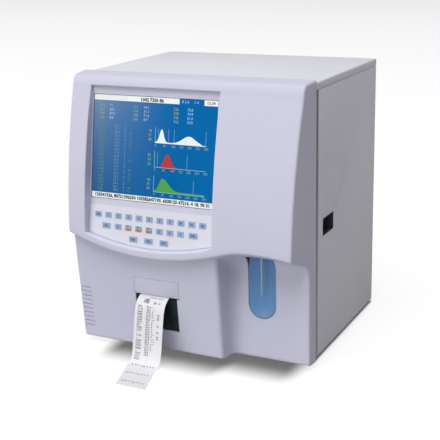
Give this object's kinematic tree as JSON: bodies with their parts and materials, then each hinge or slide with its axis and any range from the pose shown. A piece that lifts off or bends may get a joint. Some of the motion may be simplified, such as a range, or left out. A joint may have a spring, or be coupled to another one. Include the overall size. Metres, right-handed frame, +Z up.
{
  "type": "hematology analyzer",
  "caption": "Bench blood cell analyzer with a moulded front, tilted colour screen over membrane keys, sample probe bay with a blue key, thermal recorder and a hinged side door.",
  "frame": {"origin": "centre of the overall bounding box in plan, on the bench surface", "axes": "+Z up, +X to the right seen from the front, +Y to the rear"},
  "size_m": [0.39, 0.4608, 0.4399],
  "materials": {
    "front_cover": "fine moulded texture",
    "top_cover": "powder coat",
    "left_panel": "powder coat",
    "rear_panel": "powder coat",
    "right_door": "powder coat",
    "base_tray": "powder coat",
    "front_plate": "powder coat",
    "partition_plate": "powder coat",
    "hinge_post": "folded steel",
    "door_pull": "black moulding",
    "door_magnet": "black housing",
    "lcd_screen": "lit display",
    "lcd_module": "pressed frame",
    "keypad_overlay": "printed film",
    "keypad_board": "circuit board",
    "aspirate_key": "satin blue",
    "key_switch": "black housing",
    "recorder_bezel": "fine moulded texture",
    "recorder_door": "dark tinted",
    "recorder_chassis": "black moulding",
    "platen_roller": "ground rubber",
    "print_head": "heat sink with ceramic line",
    "roll_spindle": "turned",
    "paper_roll": "thermal paper",
    "paper_strip": "thermal paper",
    "probe_needle": "polished stainless",
    "probe_carriage": "white acetal",
    "probe_rail": "ground",
    "lift_motor": "black and bare steel",
    "lift_pulley": "turned",
    "idler_pulley": "turned",
    "lift_belt": "toothed belt",
    "wipe_block": "machined acrylic",
    "wbc_bath": "machined acrylic",
    "rbc_bath": "machined acrylic",
    "syringe_frame": "anodised",
    "syringe_barrel_a": "clear",
    "syringe_barrel_b": "clear",
    "syringe_plunger": "ground",
    "syringe_motor": "black and bare steel",
    "valve_bank": "acrylic with coils",
    "waste_chamber": "translucent",
    "liquid_pump": "black and bare steel",
    "hose_wbc_drain": "soft clear tube",
    "hose_rbc_drain": "soft clear tube",
    "hose_waste": "soft clear tube",
    "power_supply": "perforated case",
    "main_board": "circuit board",
    "fan_frame": "black moulding",
    "fan_rotor": "black moulding",
    "mains_inlet": "black moulding",
    "power_switch": "black rocker",
    "rear_ports": "plated shell",
    "fluid_fittings": "moulded barbs",
    "foot_front_left": "moulded",
    "foot_front_right": "moulded",
    "foot_rear_left": "moulded",
    "foot_rear_right": "moulded"
  },
  "bodies": {
    "chassis": {"front_cover": "front_cover", "top_cover": "top_cover", "left_panel": "left_panel", "rear_panel": "rear_panel", "base_tray": "base_tray", "front_plate": "front_plate", "partition_plate": "partition_plate", "hinge_post": "hinge_post", "door_magnet": "door_magnet", "lcd_screen": "lcd_screen", "lcd_module": "lcd_module", "keypad_overlay": "keypad_overlay", "keypad_board": "keypad_board", "key_switch": "key_switch", "recorder_bezel": "recorder_bezel", "recorder_chassis": "recorder_chassis", "print_head": "print_head", "roll_spindle": "roll_spindle", "paper_strip": "paper_strip", "probe_rail": "probe_rail", "lift_motor": "lift_motor", "lift_belt": "lift_belt", "wipe_block": "wipe_block", "wbc_bath": "wbc_bath", "rbc_bath": "rbc_bath", "syringe_frame": "syringe_frame", "syringe_barrel_a": "syringe_barrel_a", "syringe_barrel_b": "syringe_barrel_b", "syringe_motor": "syringe_motor", "valve_bank": "valve_bank", "waste_chamber": "waste_chamber", "liquid_pump": "liquid_pump", "hose_wbc_drain": "hose_wbc_drain", "hose_rbc_drain": "hose_rbc_drain", "hose_waste": "hose_waste", "power_supply": "power_supply", "main_board": "main_board", "fan_frame": "fan_frame", "mains_inlet": "mains_inlet", "rear_ports": "rear_ports", "fluid_fittings": "fluid_fittings", "foot_front_left": "foot_front_left", "foot_front_right": "foot_front_right", "foot_rear_left": "foot_rear_left", "foot_rear_right": "foot_rear_right"},
    "side_door": {"right_door": "right_door", "door_pull": "door_pull"},
    "aspirate_key_body": {"aspirate_key": "aspirate_key"},
    "probe_carrier": {"probe_carriage": "probe_carriage", "probe_needle": "probe_needle"},
    "lift_pulley_body": {"lift_pulley": "lift_pulley"},
    "idler_body": {"idler_pulley": "idler_pulley"},
    "recorder_hatch": {"recorder_door": "recorder_door"},
    "platen": {"platen_roller": "platen_roller"},
    "roll": {"paper_roll": "paper_roll"},
    "fan": {"fan_rotor": "fan_rotor"},
    "plungers": {"syringe_plunger": "syringe_plunger"},
    "rocker": {"power_switch": "power_switch"}
  },
  "joints": [
    {"name": "door_hinge", "type": "hinge", "parent": "chassis", "child": "side_door", "pos_m": [0.1895, 0.21065, 0.22], "axis": [0, 0, 1], "range_deg": [0, 110]},
    {"name": "aspirate_key_press", "type": "slide", "parent": "chassis", "child": "aspirate_key_body", "axis": [0, 1, 0], "range_m": [0, 0.0025], "stiffness_N_per_m": 1200, "springref_m": -0.002},
    {"name": "probe_lift", "type": "slide", "parent": "chassis", "child": "probe_carrier", "axis": [0, 0, 1], "range_m": [0, 0.07]},
    {"name": "lift_pulley_spin", "type": "hinge", "parent": "chassis", "child": "lift_pulley_body", "pos_m": [0.1415, -0.07985, 0.215], "axis": [0, 1, 0], "range_deg": [0, 370]},
    {"name": "idler_pulley_spin", "type": "hinge", "parent": "chassis", "child": "idler_body", "pos_m": [0.1415, -0.07985, 0.378], "axis": [0, 1, 0], "range_deg": [0, 370]},
    {"name": "recorder_door_hinge", "type": "hinge", "parent": "chassis", "child": "recorder_hatch", "pos_m": [-0.0463, -0.11046, 0.04753], "axis": [1, 0, 0], "range_deg": [0, 60], "deforming": ["paper_strip"]},
    {"name": "platen_spin", "type": "hinge", "parent": "recorder_hatch", "child": "platen", "pos_m": [-0.0502, -0.1074, 0.09157], "axis": [1, 0, 0], "continuous": true},
    {"name": "paper_roll_spin", "type": "hinge", "parent": "chassis", "child": "roll", "pos_m": [-0.0502, -0.08284, 0.06913], "axis": [1, 0, 0], "continuous": true},
    {"name": "fan_spin", "type": "hinge", "parent": "chassis", "child": "fan", "pos_m": [-0.06, 0.19185, 0.3], "axis": [0, 1, 0], "continuous": true},
    {"name": "syringe_stroke", "type": "slide", "parent": "chassis", "child": "plungers", "axis": [0, 0, 1], "range_m": [0, 0.035]},
    {"name": "power_rocker", "type": "hinge", "parent": "chassis", "child": "rocker", "pos_m": [-0.1, 0.21565, 0.062], "axis": [1, 0, 0], "range_deg": [0, 14]}
  ],
  "couplings": [
    {"joint": "lift_pulley_spin", "follows": "probe_lift", "rad_per_m": 91.743},
    {"joint": "idler_pulley_spin", "follows": "probe_lift", "rad_per_m": 91.743},
    {"joint": "platen_spin", "follows": "paper_roll_spin", "ratio": -3.6}
  ]
}
